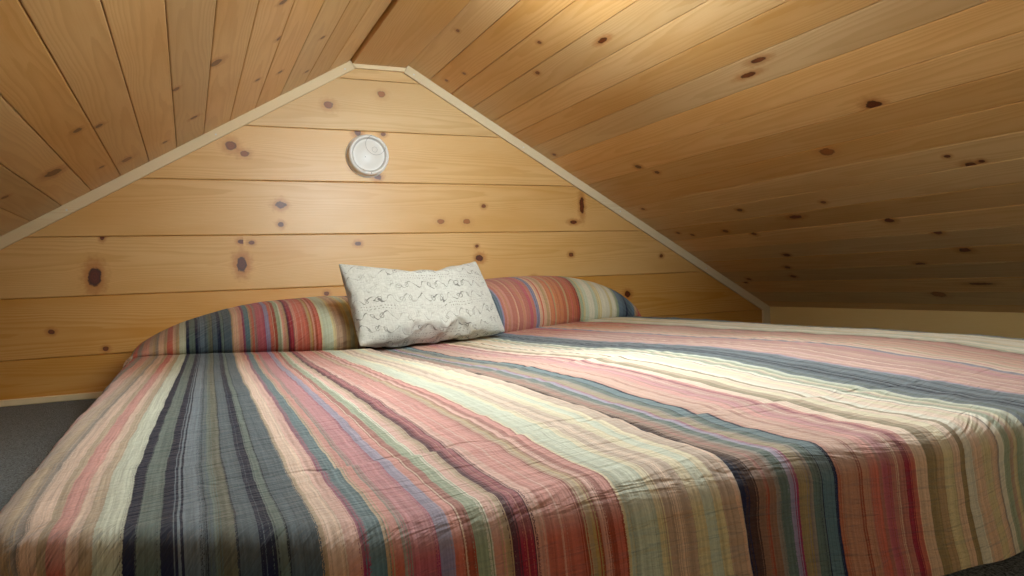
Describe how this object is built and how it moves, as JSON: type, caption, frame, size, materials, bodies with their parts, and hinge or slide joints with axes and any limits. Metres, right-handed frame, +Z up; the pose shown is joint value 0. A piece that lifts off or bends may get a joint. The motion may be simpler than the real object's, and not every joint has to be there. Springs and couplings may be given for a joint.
{
  "type": "sleeping loft bay of a tiny house",
  "caption": "Gable-end sleeping loft of a tiny house: knotty pine walls and sloped ceilings, carpeted floor, ribbed metal roof, smoke alarm and a low bed under a striped quilt.",
  "frame": {"origin": "middle of the foot of the bay, under the joists", "axes": "+X across the house to the right, +Y towards the gable wall, +Z up"},
  "size_m": [3.9462, 2.681, 1.5128],
  "materials": {
    "framing": "sawn softwood, unfinished",
    "sheathing": "plywood sheet, unfinished",
    "carpet": "short grey pile",
    "siding": "stained pine boards",
    "pine_lining": "knotty pine boards, clear satin varnish",
    "pale_board": "planed pine, clear matt finish",
    "outside_trim": "stained pine",
    "inside_trim": "planed pine strip, unvarnished",
    "roof_metal": "satin coated steel",
    "alarm_plastic": "moulded white plastic",
    "mattress_ticking": "quilted white ticking",
    "pillow_cotton": "white cotton",
    "quilt_cotton": "cotton quilt with woven stripes, puckered stitching",
    "cushion_linen": "slubby linen with a printed ornament"
  },
  "bodies": {
    "root": {"loft_edge_beam": "framing", "floor_joists": "framing", "floor_deck": "sheathing", "carpet": "carpet", "side_frame_left": "framing", "side_frame_right": "framing", "side_siding_left": "siding", "side_siding_right": "siding", "knee_board_left": "pale_board", "knee_board_right": "pale_board", "gable_frame": "framing", "gable_lining": "pine_lining", "gable_siding": "siding", "corner_boards": "outside_trim", "ridge_beam": "framing", "rafter_pair_1": "framing", "rafter_pair_2": "framing", "rafter_pair_3": "framing", "rafter_pair_4": "framing", "rafter_pair_5": "framing", "ceiling_left": "pine_lining", "ceiling_right": "pine_lining", "ridge_board": "pale_board", "roof_deck_left": "sheathing", "roof_deck_right": "sheathing", "roofing_left": "roof_metal", "roofing_right": "roof_metal", "ridge_cap": "roof_metal", "eave_soffits": "pine_lining", "eave_fascia_left": "outside_trim", "eave_fascia_right": "outside_trim", "barge_board_left": "outside_trim", "barge_board_right": "outside_trim", "rake_trim_left": "inside_trim", "rake_trim_right": "inside_trim", "ridge_trim": "inside_trim", "corner_trims": "inside_trim", "base_trim": "inside_trim", "smoke_alarm_base": "alarm_plastic", "smoke_alarm_cover": "alarm_plastic", "mattress": "mattress_ticking", "quilt": "quilt_cotton", "pillow_left": "pillow_cotton", "pillow_right": "pillow_cotton", "accent_cushion": "cushion_linen"}
  },
  "joints": []
}
